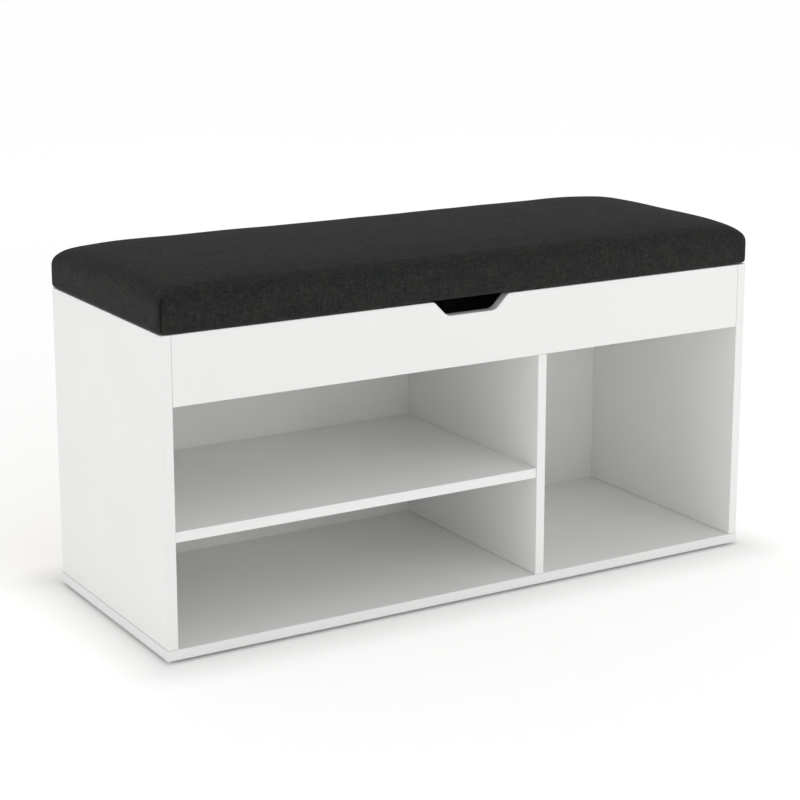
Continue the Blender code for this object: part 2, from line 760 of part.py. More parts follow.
def make_stay(label, side, lid_axis, zinc):
    """One lid stay. Its arm, its stud, its bracket and its rivet hang on the lid."""
    pivot_y = HINGE_AXIS.y - STAY_ARM * math.cos(PIVOT_ANGLE)
    pivot = Vector((side * (INNER - arm_depth()), pivot_y, HINGE_AXIS.z - STAY_PIVOT_DROP))
    make_track(f"{label}_stay_track", side, zinc)
    bracket = make_bracket(f"{label}_stay_bracket", side, pivot, zinc)
    rivet = make_rivet(f"{label}_stay_rivet", side, pivot, zinc)
    for piece in (bracket, rivet):
        hang_on(piece, lid_axis)
    arm_axis = axis_empty(f"{label}_stay_pivot_axis", pivot)
    arm = make_arm(f"{label}_stay_arm", side, pivot, zinc)
    stud = make_stud(f"{label}_stay_stud", side, zinc)
    for piece in (arm, stud):
        hang_on(piece, arm_axis)
    hang_on(arm_axis, lid_axis)


def clear_scene():
    for leftover in list(bpy.data.objects):
        bpy.data.objects.remove(leftover, do_unlink=True)


def main():
    clear_scene()
    white = finish("white_melamine", "E9E9E8", 0.42)
    fabric = finish("charcoal_weave", "35363A", 0.95)
    foam = finish("cream_foam", "E6DCC0", 0.95)
    chipboard = finish("raw_chipboard", "B99B74", 0.85)
    felt = finish("black_dust_cover", "26262A", 0.95)
    steel = finish("bright_steel", "B9BBBF", 0.35, 1.0)
    zinc = finish("zinc_plate", "C3C6CA", 0.4, 1.0)
    plastic = finish("grey_glide_plastic", "B8B8B6", 0.5)
    rubber = finish("clear_rubber", "D9D9D4", 0.6)

    make_bottom_panel(white)
    make_side_panel("left_side_panel", -1, white)
    make_side_panel("right_side_panel", 1, white)
    make_divider(white)
    make_shelf(white)
    make_storage_floor(white)
    make_apron(white)
    make_rear_rail(white)
    make_back_panel(white)
    make_glides(plastic)
    make_bumpers(rubber)
    make_cams("shelf", shelf_cam_places(), (0, 0, -1), zinc)
    make_cams("storage_floor", floor_cam_places(), (0, 0, -1), zinc)
    make_cams("apron", apron_cam_places(), (0, 1, 0), zinc)
    make_cams("rail", rail_cam_places(), (0, -1, 0), zinc)
    make_screws("base", bottom_screw_places(), (0, 0, -1), steel)
    make_screws("divider", floor_screw_places(), (0, 0, 1), steel)

    lid_axis = axis_empty("seat_hinge_axis", HINGE_AXIS)
    make_seat(lid_axis, fabric, foam, chipboard, felt)
    make_hinges(lid_axis, steel)
    make_stay("left", -1, lid_axis, zinc)
    make_stay("right", 1, lid_axis, zinc)


main()
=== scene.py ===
import json
import math

import bmesh
import bpy
import numpy as np
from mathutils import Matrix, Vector, noise


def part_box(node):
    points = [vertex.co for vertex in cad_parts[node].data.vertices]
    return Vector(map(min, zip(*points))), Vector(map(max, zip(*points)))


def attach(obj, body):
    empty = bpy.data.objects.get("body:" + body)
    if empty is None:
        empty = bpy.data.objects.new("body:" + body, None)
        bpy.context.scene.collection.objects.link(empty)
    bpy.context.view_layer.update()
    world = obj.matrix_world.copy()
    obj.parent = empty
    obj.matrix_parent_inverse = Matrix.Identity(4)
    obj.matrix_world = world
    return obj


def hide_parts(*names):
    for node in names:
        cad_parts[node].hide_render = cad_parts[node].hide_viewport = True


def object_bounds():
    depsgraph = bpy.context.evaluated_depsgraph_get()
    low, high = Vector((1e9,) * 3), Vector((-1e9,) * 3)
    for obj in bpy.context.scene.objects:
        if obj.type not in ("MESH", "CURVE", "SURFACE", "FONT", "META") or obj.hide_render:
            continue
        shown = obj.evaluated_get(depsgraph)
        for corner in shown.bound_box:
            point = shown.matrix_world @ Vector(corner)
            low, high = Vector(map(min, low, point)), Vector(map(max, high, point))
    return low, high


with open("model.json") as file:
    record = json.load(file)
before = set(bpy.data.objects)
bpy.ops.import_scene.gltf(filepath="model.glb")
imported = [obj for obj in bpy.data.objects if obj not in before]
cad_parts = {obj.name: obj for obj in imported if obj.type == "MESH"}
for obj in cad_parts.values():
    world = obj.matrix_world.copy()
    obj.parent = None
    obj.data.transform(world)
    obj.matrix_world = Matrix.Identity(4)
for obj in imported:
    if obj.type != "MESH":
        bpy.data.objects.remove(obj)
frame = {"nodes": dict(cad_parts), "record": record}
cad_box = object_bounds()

MM = 0.001

# ---- Camera: a low three-quarter view from the front left ----
CAMERA_PLACE = (-1.576, -2.590, 1.052)
CAMERA_YAW = math.radians(31.07)
CAMERA_PITCH = math.radians(12.32)
CAMERA_LENS = 91.4
CAMERA_SHIFT = -0.1

# ---- Light ----
ROOM_STRENGTH = 0.6
BACKDROP_STRENGTH = 0.985
LIGHT_AIM = (0, 0, 0.25)
FLOOR_REACH = 14  # middle of the floor to its edges
FLOOR_GLOW = 0.335  # strength of the floor's painted glow near the bench
FAR_GLOW = 0.405
GLOW_NEAR, GLOW_FAR = 500, 3500  # mm from the middle of the floor
CONTACT_SHADOW_FADE = 90  # mm past the bench's outline over which the painted glow fades out, a painted contact shadow
SOFTBOXES = {  # place, size, power
    "front_right_softbox": ((2.2, -3.2, 1.3), (1.6, 1.6), 14.6),
    "front_softbox": ((0.0, -3.6, 0.7), (1.6, 1.0), 4.2),
    "right_softbox": ((3.4, -0.6, 1.3), (1.6, 1.6), 8.1),
    "left_softbox": ((-3.4, -0.6, 1.3), (1.6, 1.6), 11.4),
}

# ---- Boards ----
EDGE_BAND = 1.0  # mm, thickness of the band ironed on each front edge

# ---- Cushion ----
CUSHION_STEP = 7 * MM  # spacing of the skin before it is subdivided
CUSHION_SIDE = 61.5 * MM  # height of the sides at the top of their roll
CUSHION_CORNER = 12 * MM  # corner radius in plan at the sewn corners
CUSHION_SPREAD = 0.3  # how fast the corners widen towards the top
CUSHION_ROLL = 25 * MM  # radius of the rolled top edge
CUSHION_EASE = 3 * MM  # round under the sides
ROLL_STEPS = 6  # grid lines over the roll
SIDE_ROWS = 6  # rows of the skin up the sides
CROWN_POWER = 2.3  # the higher, the flatter the middle of the crown
CORNER_DROP = 5 * MM  # how far the sewn corners sag
CORNER_REACH = 60 * MM  # how far from a corner the sag is felt
CLOTH_PRESSURE = 4
CLOTH_FRAMES = 20
SWELL = 3.5 * MM  # how far the filling may push the cloth out
SWELL_AT = 14 * MM  # the free movement that gives three quarters of that
SWELL_SMOOTHING = 12  # passes
FOAM_WANDER = 0.6 * MM  # slow rises and dips of the foam
WANDER_SLOW, WANDER_QUICK = 11, 24  # noise cells in a metre
SEAM_TOP = 50 * MM  # where the corner seams run out under the roll
SEAM_WIDTH = 1.6 * MM
SEAM_DEPTH = 1.3 * MM
SEAM_ZONE = 5 * MM  # the skin is cut finer this near a seam
STITCH_SPACING = 3.2 * MM
STITCH_THREAD = 0.3 * MM
STITCH_REACH = 1.0 * MM  # half the length of a stitch

# ---- Underside of the lid ----
LINING_INSET = 27 * MM  # edge of the lid to the edge of the dust cover
LINING_THICKNESS = 0.5 * MM
LINING_CELLS = (240, 84)  # along the lid and across it
LINING_LEVEL = 0.35 * MM  # underside of the lid to the middle of the sheet
PUCKER = 0.35 * MM  # how far the sheet hangs between two staples
PUCKER_REACH = 14 * MM
SLACK = 0.3 * MM
STAPLE_CROWN = 10 * MM
STAPLE_WIRE = 0.7 * MM
STAPLE_SPACING = 38 * MM
STAPLE_FROM_EDGE = 5 * MM  # edge of the dust cover to the staples
STAPLE_DROP = 1.15 * MM  # underside of the lid to the middle of a staple's wire
STAPLE_TILT = math.radians(9)

# ---- Screws ----
SCREW_HEAD = 3.1 * MM  # radius
SCREW_RISE = 0.55 * MM  # the sunk heads stand nearly flush
LEAF_HOLES = ((0.14, 0.3), (0.5, 0.7), (0.86, 0.3))  # share of a leaf's length, of its width
LEAF_THICKNESS = 1.2 * MM
BRACKET_SHEET = 1.6 * MM


# ---- Nodes and colours ----


def add_node(tree, kind, inputs=None, output=0, **settings):
    """Adds a node with its settings and its inputs, values or sockets, and gives one output."""
    made = tree.nodes.new(kind)
    for name, value in settings.items():
        setattr(made, name, value)
    for key, value in (inputs or {}).items():
        if isinstance(value, bpy.types.NodeSocket):
            tree.links.new(value, made.inputs[key])
        else:
            made.inputs[key].default_value = value
    return made.outputs[output] if len(made.outputs) else None


def linear(hex_colour):
    """A linear RGBA colour from sRGB hex."""
    channels = [int(hex_colour[i : i + 2], 16) / 255 for i in (0, 2, 4)]
    return [c / 12.92 if c <= 0.04045 else ((c + 0.055) / 1.055) ** 2.4 for c in channels] + [1]


def start_material(name, roughness, metallic=0.0):
    """A material, its tree, its shader's inputs, and Object coordinates in millimetres."""
    made = bpy.data.materials.new(name)
    made.use_nodes = True
    tree = made.node_tree
    shader = tree.nodes["Principled BSDF"].inputs
    shader["Roughness"].default_value = roughness
    shader["Metallic"].default_value = metallic
    metres = add_node(tree, "ShaderNodeTexCoord", output="Object")
    place = add_node(tree, "ShaderNodeVectorMath", {0: metres, "Scale": 1 / MM}, operation="SCALE")
    return made, tree, shader, place


# ---- Materials ----


def melamine_board(name, front):
    """White melamine-faced chipboard, pressed on a fine pearl plate, with edge bands ironed on.

    It gives a soft satin sheen and faint tone changes; just behind the front edge a hairline
    shows where the band meets the face.
    """
    made, tree, shader, place = start_material(name, 0.42)
    # The pearl is 0.4 mm across, too fine to show, so it is drawn at 1.2 mm and very shallow.
    pearl = add_node(tree, "ShaderNodeTexNoise", {"Vector": place, "Scale": 1 / 1.2, "Detail": 3})
    clouds = add_node(tree, "ShaderNodeTexNoise", {"Vector": place, "Scale": 1 / 130})
    share = add_node(tree, "ShaderNodeMapRange", {0: clouds, 1: 0.3, 2: 0.7})
    tone = add_node(tree, "ShaderNodeMix", {0: share, 6: linear("F3F3F2"), 7: linear("F5F5F4")},
                    2, data_type="RGBA")
    speck = add_node(tree, "ShaderNodeMapRange", {0: pearl, 1: 0.35, 2: 0.7, 4: 0.35})
    tone = add_node(tree, "ShaderNodeMix", {0: speck, 6: tone, 7: linear("F0F0EF")},
                    2, data_type="RGBA")
    depth = add_node(tree, "ShaderNodeSeparateXYZ", {0: place}, "Y")
    depth = add_node(tree, "ShaderNodeMath", {0: depth, 1: front / MM + EDGE_BAND},
                     operation="SUBTRACT")
    depth = add_node(tree, "ShaderNodeMath", {0: depth}, operation="ABSOLUTE")
    hairline = add_node(tree, "ShaderNodeMapRange", {0: depth, 1: 0.06, 2: 0.16, 3: 0.5, 4: 0.0})
    tone = add_node(tree, "ShaderNodeMix", {0: hairline, 6: tone, 7: linear("9C9B96")},
                    2, data_type="RGBA")
    tree.links.new(tone, shader["Base Color"])
    gloss = add_node(tree, "ShaderNodeMapRange", {0: pearl, 1: 0.3, 2: 0.7, 3: 0.36, 4: 0.48})
    tree.links.new(gloss, shader["Roughness"])
    bump = add_node(tree, "ShaderNodeBump", {"Height": pearl, "Distance": 0.02 * MM}, "Normal")
    tree.links.new(bump, shader["Normal"])
    return made


def painted_hardboard():
    """3 mm hardboard: a white lacquered face inwards, bare brown pressed fibre behind.

    The lacquer is flatter than melamine; the bare side keeps the print of the wire mesh it
    dried on.
    """
    made, tree, shader, place = start_material("white_lacquered_hardboard", 0.5)
    # Fibre bundles are 1 to 3 mm long; they lie a little more along the board than across it.
    lie = add_node(tree, "ShaderNodeMapping", {0: place, "Scale": (1 / 7.5, 1 / 3, 1 / 3)})
    fibre = add_node(tree, "ShaderNodeTexNoise",
                     {"Vector": lie, "Scale": 1.0, "Detail": 5, "Roughness": 0.65})
    flakes = add_node(tree, "ShaderNodeTexNoise", {"Vector": place, "Scale": 1 / 18, "Detail": 3})
    share = add_node(tree, "ShaderNodeMapRange", {0: fibre, 1: 0.3, 2: 0.7})
    brown = add_node(tree, "ShaderNodeMix", {0: share, 6: linear("7E5F41"), 7: linear("A4835D")},
                     2, data_type="RGBA")
    share = add_node(tree, "ShaderNodeMapRange", {0: flakes, 1: 0.35, 2: 0.7, 4: 0.5})
    brown = add_node(tree, "ShaderNodeMix", {0: share, 6: brown, 7: linear("8E6C4A")},
                     2, data_type="RGBA")
    facing = add_node(tree, "ShaderNodeNewGeometry", output="Normal")
    facing = add_node(tree, "ShaderNodeSeparateXYZ", {0: facing}, "Y")
    behind = add_node(tree, "ShaderNodeMapRange", {0: facing, 1: 0.4, 2: 0.6})
    clouds = add_node(tree, "ShaderNodeTexNoise", {"Vector": place, "Scale": 1 / 90})
    share = add_node(tree, "ShaderNodeMapRange", {0: clouds, 1: 0.3, 2: 0.7})
    white = add_node(tree, "ShaderNodeMix", {0: share, 6: linear("F0F0EF"), 7: linear("F3F3F2")},
                     2, data_type="RGBA")
    tone = add_node(tree, "ShaderNodeMix", {0: behind, 6: white, 7: brown}, 2, data_type="RGBA")
    tree.links.new(tone, shader["Base Color"])
    rough = add_node(tree, "ShaderNodeMapRange", {0: behind, 3: 0.5, 4: 0.85})
    tree.links.new(rough, shader["Roughness"])
    # The wires lay 1.5 mm apart. A wave texture repeats every pi / 10 over its scale.
    wires = {"Vector": place, "Scale": math.pi / 10 / 1.5}
    upright = add_node(tree, "ShaderNodeTexWave", wires, 1, bands_direction="X")
    level = add_node(tree, "ShaderNodeTexWave", wires, 1, bands_direction="Z")
    height = add_node(tree, "ShaderNodeMath", {0: upright, 1: level, 2: fibre},
                      operation="MULTIPLY_ADD")
    height = add_node(tree, "ShaderNodeMath", {0: height, 1: behind}, operation="MULTIPLY")
    bump = add_node(tree, "ShaderNodeBump",
                    {"Height": height, "Distance": 0.15 * MM, "Strength": 0.6}, "Normal")
    tree.links.new(bump, shader["Normal"])
    return made


def linen_weave():
    """Charcoal plain weave in slubbed polyester yarn, like coarse linen.

    Thick and thin yarns cross, so the cloth is mottled: pale slubs lie along both threads, the
    dye took a little unevenly, and a soft fuzz catches the light at a low angle. The gaps
    between the threads are darkened with painted shade, and so are the seams at the corners.
    """
    made, tree, shader, _ = start_material("charcoal_linen_weave", 0.92)
    flat = add_node(tree, "ShaderNodeUVMap", uv_map="weave")
    cloth = add_node(tree, "ShaderNodeVectorMath", {0: flat, "Scale": 1 / MM}, operation="SCALE")

    # Real threads lie 0.9 mm apart; they are drawn 1.6 mm apart so that they show.
    pitch = 1.6
    wave = {"Vector": cloth, "Scale": math.pi / 10 / pitch, "Distortion": 0.6,
            "Detail Scale": 0.8}
    warp = add_node(tree, "ShaderNodeTexWave", wave, 1, bands_direction="X")
    weft = add_node(tree, "ShaderNodeTexWave", wave, 1, bands_direction="Y")
    over = add_node(tree, "ShaderNodeTexChecker", {"Vector": cloth, "Scale": 1 / pitch}, "Fac")
    thread = add_node(tree, "ShaderNodeMix", {0: over, 2: warp, 3: weft}, data_type="FLOAT")

    # Dye took unevenly in soft patches 30 mm across, a little warm or a little cool.
    uneven = add_node(tree, "ShaderNodeTexNoise",
                      {"Vector": cloth, "Scale": 1 / 30, "Detail": 3, "Roughness": 0.6})
    warm = add_node(tree, "ShaderNodeMapRange", {0: uneven, 1: 0.35, 2: 0.65})
    mottle = add_node(tree, "ShaderNodeTexNoise",
                      {"Vector": cloth, "Scale": 1 / 7, "Detail": 3, "Roughness": 0.6})
    share = add_node(tree, "ShaderNodeMapRange", {0: mottle, 1: 0.32, 2: 0.68})
    cool_tone = add_node(tree, "ShaderNodeMix",
                         {0: share, 6: linear("141717"), 7: linear("232627")}, 2, data_type="RGBA")
    warm_tone = add_node(tree, "ShaderNodeMix",
                         {0: share, 6: linear("1F1F1B"), 7: linear("31312C")}, 2, data_type="RGBA")
    tone = add_node(tree, "ShaderNodeMix", {0: warm, 6: cool_tone, 7: warm_tone},
                    2, data_type="RGBA")

    # Slubs are yarns up to 1.9 mm thick: long ones run 26 mm along a thread, short ones 7 mm.
    yarns = None
    for long_way, thick, low, high, most in ((26, 1.9, 0.56, 0.74, 0.6), (7, 1.6, 0.56, 0.8, 0.6)):
        for size in ((long_way, thick, 1), (thick, long_way, 1)):
            lie = add_node(tree, "ShaderNodeMapping", {0: cloth, "Scale": [1 / s for s in size]})
            slub = add_node(tree, "ShaderNodeTexNoise",
                            {"Vector": lie, "Scale": 1.0, "Detail": 3, "Roughness": 0.6})
            thick_yarn = add_node(tree, "ShaderNodeMapRange", {0: slub, 1: low, 2: high, 4: most})
            tone = add_node(tree, "ShaderNodeMix", {0: thick_yarn, 6: tone, 7: linear("464846")},
                            2, data_type="RGBA")
            thin_yarn = add_node(tree, "ShaderNodeMapRange", {0: slub, 1: 0.43, 2: 0.27, 4: 0.45})
            tone = add_node(tree, "ShaderNodeMix", {0: thin_yarn, 6: tone, 7: linear("0E0F0E")},
                            2, data_type="RGBA")
            yarns = slub if yarns is None else add_node(
                tree, "ShaderNodeMath", {0: yarns, 1: slub}, operation="ADD")
    # Painted shade: the cloth is darkened in the low gaps between the raised threads.
    painted_gap_shade = add_node(tree, "ShaderNodeMapRange", {0: thread, 1: 0.1, 2: 0.75, 3: 0.38, 4: 0.0})
    tone = add_node(tree, "ShaderNodeMix", {0: painted_gap_shade, 6: tone, 7: linear("0A0B0A")},
                    2, data_type="RGBA")
    # Painted shade: the cloth is darkened almost to black along the sunk corner seams.
    seam = add_node(tree, "ShaderNodeAttribute", output="Fac", attribute_name="seam")
    tone = add_node(tree, "ShaderNodeMix", {0: seam, 6: tone, 7: linear("060706")},
                    2, data_type="RGBA")
    tree.links.new(tone, shader["Base Color"])
    shader["Specular IOR Level"].default_value = 0.25
    shader["Sheen Weight"].default_value = 0.09
    shader["Sheen Roughness"].default_value = 0.55
    shader["Sheen Tint"].default_value = linear("8A8C8A")

    woven = add_node(tree, "ShaderNodeBump",
                     {"Height": thread, "Distance": 0.25 * MM, "Strength": 0.7}, "Normal")
    slubbed = add_node(tree, "ShaderNodeBump", {"Height": yarns, "Distance": 0.45 * MM,
                                                "Strength": 0.7, "Normal": woven}, "Normal")
    tree.links.new(slubbed, shader["Normal"])
    return made


def spunbond():
    """Black spunbonded polypropylene, bonded in small points; thin, matt and slightly fibrous."""
    made, tree, shader, place = start_material("black_spunbond", 0.85)
    # Bond points lie 1.5 mm apart and are drawn 3 mm apart.
    spots = {"Vector": place, "Scale": 1 / 3, "Randomness": 0.0}
    bond = add_node(tree, "ShaderNodeTexVoronoi", spots, "Distance")
    bond = add_node(tree, "ShaderNodeMapRange", {0: bond, 1: 0.12, 2: 0.3})
    lie = add_node(tree, "ShaderNodeMapping", {0: place, "Scale": (1 / 7.5, 1 / 1.5, 1 / 1.5)})
    fibres = add_node(tree, "ShaderNodeTexNoise", {"Vector": lie, "Scale": 1.0, "Detail": 4})
    share = add_node(tree, "ShaderNodeMapRange", {0: fibres, 1: 0.3, 2: 0.7})
    tone = add_node(tree, "ShaderNodeMix", {0: share, 6: linear("1B1B1E"), 7: linear("2C2C30")},
                    2, data_type="RGBA")
    melted = add_node(tree, "ShaderNodeMapRange", {0: bond, 3: 0.6, 4: 0.0})
    tone = add_node(tree, "ShaderNodeMix", {0: melted, 6: tone, 7: linear("121214")},
                    2, data_type="RGBA")
    tree.links.new(tone, shader["Base Color"])
    height = add_node(tree, "ShaderNodeMath", {0: bond, 1: fibres}, operation="ADD")
    bump = add_node(tree, "ShaderNodeBump",
                    {"Height": height, "Distance": 0.2 * MM, "Strength": 0.7}, "Normal")
    tree.links.new(bump, shader["Normal"])
    return made


def raw_chipboard():
    """Bare pressed chipboard: pale flakes of several woods, 3.5 mm across, in a sandy ground."""
    made, tree, shader, place = start_material("raw_chipboard", 0.85)
    flake = add_node(tree, "ShaderNodeTexVoronoi", {"Vector": place, "Scale": 1 / 3.5}, "Color")
    pick = add_node(tree, "ShaderNodeSeparateColor", {0: flake})
    tone = add_node(tree, "ShaderNodeMix", {0: pick, 6: linear("A58558"), 7: linear("CDB185")},
                    2, data_type="RGBA")
    dust = add_node(tree, "ShaderNodeTexNoise", {"Vector": place, "Scale": 1 / 1.2, "Detail": 4})
    share = add_node(tree, "ShaderNodeMapRange", {0: dust, 1: 0.4, 2: 0.7, 4: 0.5})
    tone = add_node(tree, "ShaderNodeMix", {0: share, 6: tone, 7: linear("8A6B45")},
                    2, data_type="RGBA")
    tree.links.new(tone, shader["Base Color"])
    bump = add_node(tree, "ShaderNodeBump",
                    {"Height": dust, "Distance": 0.3 * MM, "Strength": 0.6}, "Normal")
    tree.links.new(bump, shader["Normal"])
    return made


def plated_metal(name, light, dark, roughness, streaks, speckle):
    """A bare or plated metal: fine drawn streaks, and plating or casting spots, both in mm."""
    made, tree, shader, place = start_material(name, roughness, 1.0)
    lie = add_node(tree, "ShaderNodeMapping", {0: place, "Scale": [1 / s for s in streaks]})
    streak = add_node(tree, "ShaderNodeTexNoise", {"Vector": lie, "Scale": 1.0, "Detail": 3})
    cloud = add_node(tree, "ShaderNodeTexNoise",
                     {"Vector": place, "Scale": 1 / speckle, "Detail": 3})
    share = add_node(tree, "ShaderNodeMapRange", {0: cloud, 1: 0.3, 2: 0.7})
    tone = add_node(tree, "ShaderNodeMix", {0: share, 6: linear(dark), 7: linear(light)},
                    2, data_type="RGBA")
    tree.links.new(tone, shader["Base Color"])
    both = add_node(tree, "ShaderNodeMath", {0: streak, 1: cloud}, operation="ADD")
    rough = add_node(tree, "ShaderNodeMapRange", {0: both, 1: 0.7, 2: 1.3, 3: roughness - 0.07,
                                                  4: roughness + 0.09})
    tree.links.new(rough, shader["Roughness"])
    bump = add_node(tree, "ShaderNodeBump",
                    {"Height": streak, "Distance": 0.03 * MM, "Strength": 0.5}, "Normal")
    tree.links.new(bump, shader["Normal"])
    return made


def moulded(name, colour, low, high, clear=0.0):
    """A moulded plastic or rubber: a fine spark-eroded skin, scuffed paler in spots 6 mm wide."""
    made, tree, shader, place = start_material(name, low)
    skin = add_node(tree, "ShaderNodeTexNoise", {"Vector": place, "Scale": 1 / 0.7, "Detail": 3})
    scuff = add_node(tree, "ShaderNodeTexNoise", {"Vector": place, "Scale": 1 / 6, "Detail": 4})
    worn = add_node(tree, "ShaderNodeMapRange", {0: scuff, 1: 0.55, 2: 0.8, 4: 0.3})
    tone = add_node(tree, "ShaderNodeMix", {0: worn, 6: linear(colour), 7: linear("F4F4F2")},
                    2, data_type="RGBA")
    tree.links.new(tone, shader["Base Color"])
    rough = add_node(tree, "ShaderNodeMapRange", {0: scuff, 1: 0.3, 2: 0.7, 3: low, 4: high})
    tree.links.new(rough, shader["Roughness"])
    shader["Transmission Weight"].default_value = clear
    bump = add_node(tree, "ShaderNodeBump",
                    {"Height": skin, "Distance": 0.05 * MM, "Strength": 0.5}, "Normal")
    tree.links.new(bump, shader["Normal"])
    return made


def sewing_thread():
    """Twisted black polyester thread with a ply of 0.3 mm, slightly glossy."""
    made, tree, shader, place = start_material("black_sewing_thread", 0.6)
    ply = add_node(tree, "ShaderNodeTexNoise", {"Vector": place, "Scale": 1 / 0.3})
    tone = add_node(tree, "ShaderNodeMix", {0: ply, 6: linear("0D0E0F"), 7: linear("26282A")},
                    2, data_type="RGBA")
    tree.links.new(tone, shader["Base Color"])
    bump = add_node(tree, "ShaderNodeBump",
                    {"Height": ply, "Distance": 0.1 * MM, "Strength": 0.6}, "Normal")
    tree.links.new(bump, shader["Normal"])
    return made


def white_sweep():
    """Matt white studio sweep, barely mottled.

    It glows with painted light that grows brighter away from the bench, fading to plain white;
    near the bench the glow dies away over the last 90 mm as a painted contact shadow, and under
    the bench there is none.
    """
    made, tree, shader, place = start_material("pale_studio_sweep", 0.95)
    clouds = add_node(tree, "ShaderNodeTexNoise", {"Vector": place, "Scale": 1 / 900})
    tone = add_node(tree, "ShaderNodeMix", {0: clouds, 6: linear("FBFBFA"), 7: linear("FDFDFC")},
                    2, data_type="RGBA")
    tree.links.new(tone, shader["Base Color"])
    shader["Specular IOR Level"].default_value = 0.0
    shader["Emission Color"].default_value = (1, 1, 1, 1)
    # Painted glow: the floor gives off its own light, more of it further from the bench.
    away = add_node(tree, "ShaderNodeVectorMath", {0: place}, "Value", operation="LENGTH")
    glow = add_node(tree, "ShaderNodeMapRange",
                    {0: away, 1: GLOW_NEAR, 2: GLOW_FAR, 3: FLOOR_GLOW, 4: FAR_GLOW})
    half = [(high - low) / 2 / MM for low, high in zip(*cad_box)]
    # Painted contact shadow: the glow fades to nothing toward the bench's outline and under it.
    side = add_node(tree, "ShaderNodeVectorMath", {0: place}, operation="ABSOLUTE")
    past = add_node(tree, "ShaderNodeVectorMath", {0: side, 1: (half[0], half[1], 0)},
                    operation="SUBTRACT")
    past = add_node(tree, "ShaderNodeVectorMath", {0: past, 1: (0, 0, 0)}, operation="MAXIMUM")
    past = add_node(tree, "ShaderNodeVectorMath", {0: past}, "Value", operation="LENGTH")
    near = add_node(tree, "ShaderNodeMapRange", {0: past, 1: 0, 2: CONTACT_SHADOW_FADE})
    near = add_node(tree, "ShaderNodeMath", {0: near}, operation="SQRT")
    glow = add_node(tree, "ShaderNodeMath", {0: glow, 1: near}, operation="MULTIPLY")
    tree.links.new(glow, shader["Emission Strength"])
    return made


# ---- Mesh helpers ----


def put(name, mesh, material, body):
    """A finished piece at the origin, with its material and body."""
    piece = bpy.data.objects.new(name, mesh)
    bpy.context.scene.collection.objects.link(piece)
    mesh.materials.clear()
    mesh.materials.append(material)
    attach(piece, body)
    return piece


def evaluated_mesh(obj):
    """The object's mesh as its modifiers leave it."""
    graph = bpy.context.evaluated_depsgraph_get()
    return bpy.data.meshes.new_from_object(obj.evaluated_get(graph))


def read_points(mesh):
    """The mesh's points as rows of three."""
    points = np.empty(len(mesh.vertices) * 3)
    mesh.vertices.foreach_get("co", points)
    return points.reshape(-1, 3)


def write_points(mesh, points):
    """Moves the mesh's points to these rows."""
    mesh.vertices.foreach_set("co", points.ravel())
    mesh.update()


# ---- Cushion ----


LID_LOW, LID_HIGH = (Vector(corner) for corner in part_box("seat_cover"))
LID_MIDDLE = (LID_LOW + LID_HIGH) / 2
HALF_X = (LID_HIGH.x - LID_LOW.x) / 2
HALF_Y = (LID_HIGH.y - LID_LOW.y) / 2
LID_BOARD_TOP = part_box("lid_board")[1][2] - LID_LOW.z
CROWN = LID_HIGH.z - LID_LOW.z - CUSHION_SIDE - 0.5 * SWELL


def box_grid(cells):
    """The surface of a box as a grid: corners in whole cells, and quads facing out."""
    index, corners, quads = {}, [], []

    def corner(point):
        if point not in index:
            index[point] = len(corners)
            corners.append(point)
        return index[point]

    for axis in range(3):
        a, b = (axis + 1) % 3, (axis + 2) % 3
        for end in (0, cells[axis]):
            for i in range(cells[a]):
                for j in range(cells[b]):
                    ring = []
                    for di, dj in ((0, 0), (1, 0), (1, 1), (0, 1)):
                        point = [0, 0, 0]
                        point[axis], point[a], point[b] = end, i + di, j + dj
                        ring.append(corner(tuple(point)))
                    quads.append(ring if end else ring[::-1])
    return np.array(corners, float), quads


def cushion_profile(inset):
    """Height of the top over the underside, this far in from the edge of the plan."""
    roll = np.clip(inset / CUSHION_ROLL, 0, 1)
    edge = CUSHION_SIDE - CUSHION_ROLL * (1 - np.sqrt(1 - (1 - roll) ** 2))
    start = 0.4 * CUSHION_ROLL
    share = np.clip((inset - start) / (HALF_Y - start), 0, 1)
    return edge + CROWN * (1 - (1 - share) ** CROWN_POWER)


def stations(half):
    """Grid lines across the cushion: closer over the rolled edges, then evenly spaced."""
    turns = [math.pi / 2 * i / ROLL_STEPS for i in range(ROLL_STEPS + 1)]
    roll = [CUSHION_ROLL * (1 - math.cos(t)) for t in turns]
    flat = half - CUSHION_ROLL
    count = max(2, round(flat / CUSHION_STEP))
    inner = [CUSHION_ROLL + flat * i / count for i in range(1, count + 1)]
    left = [inset - half for inset in roll + inner]
    return np.array(left + [-place for place in reversed(left[:-1])])


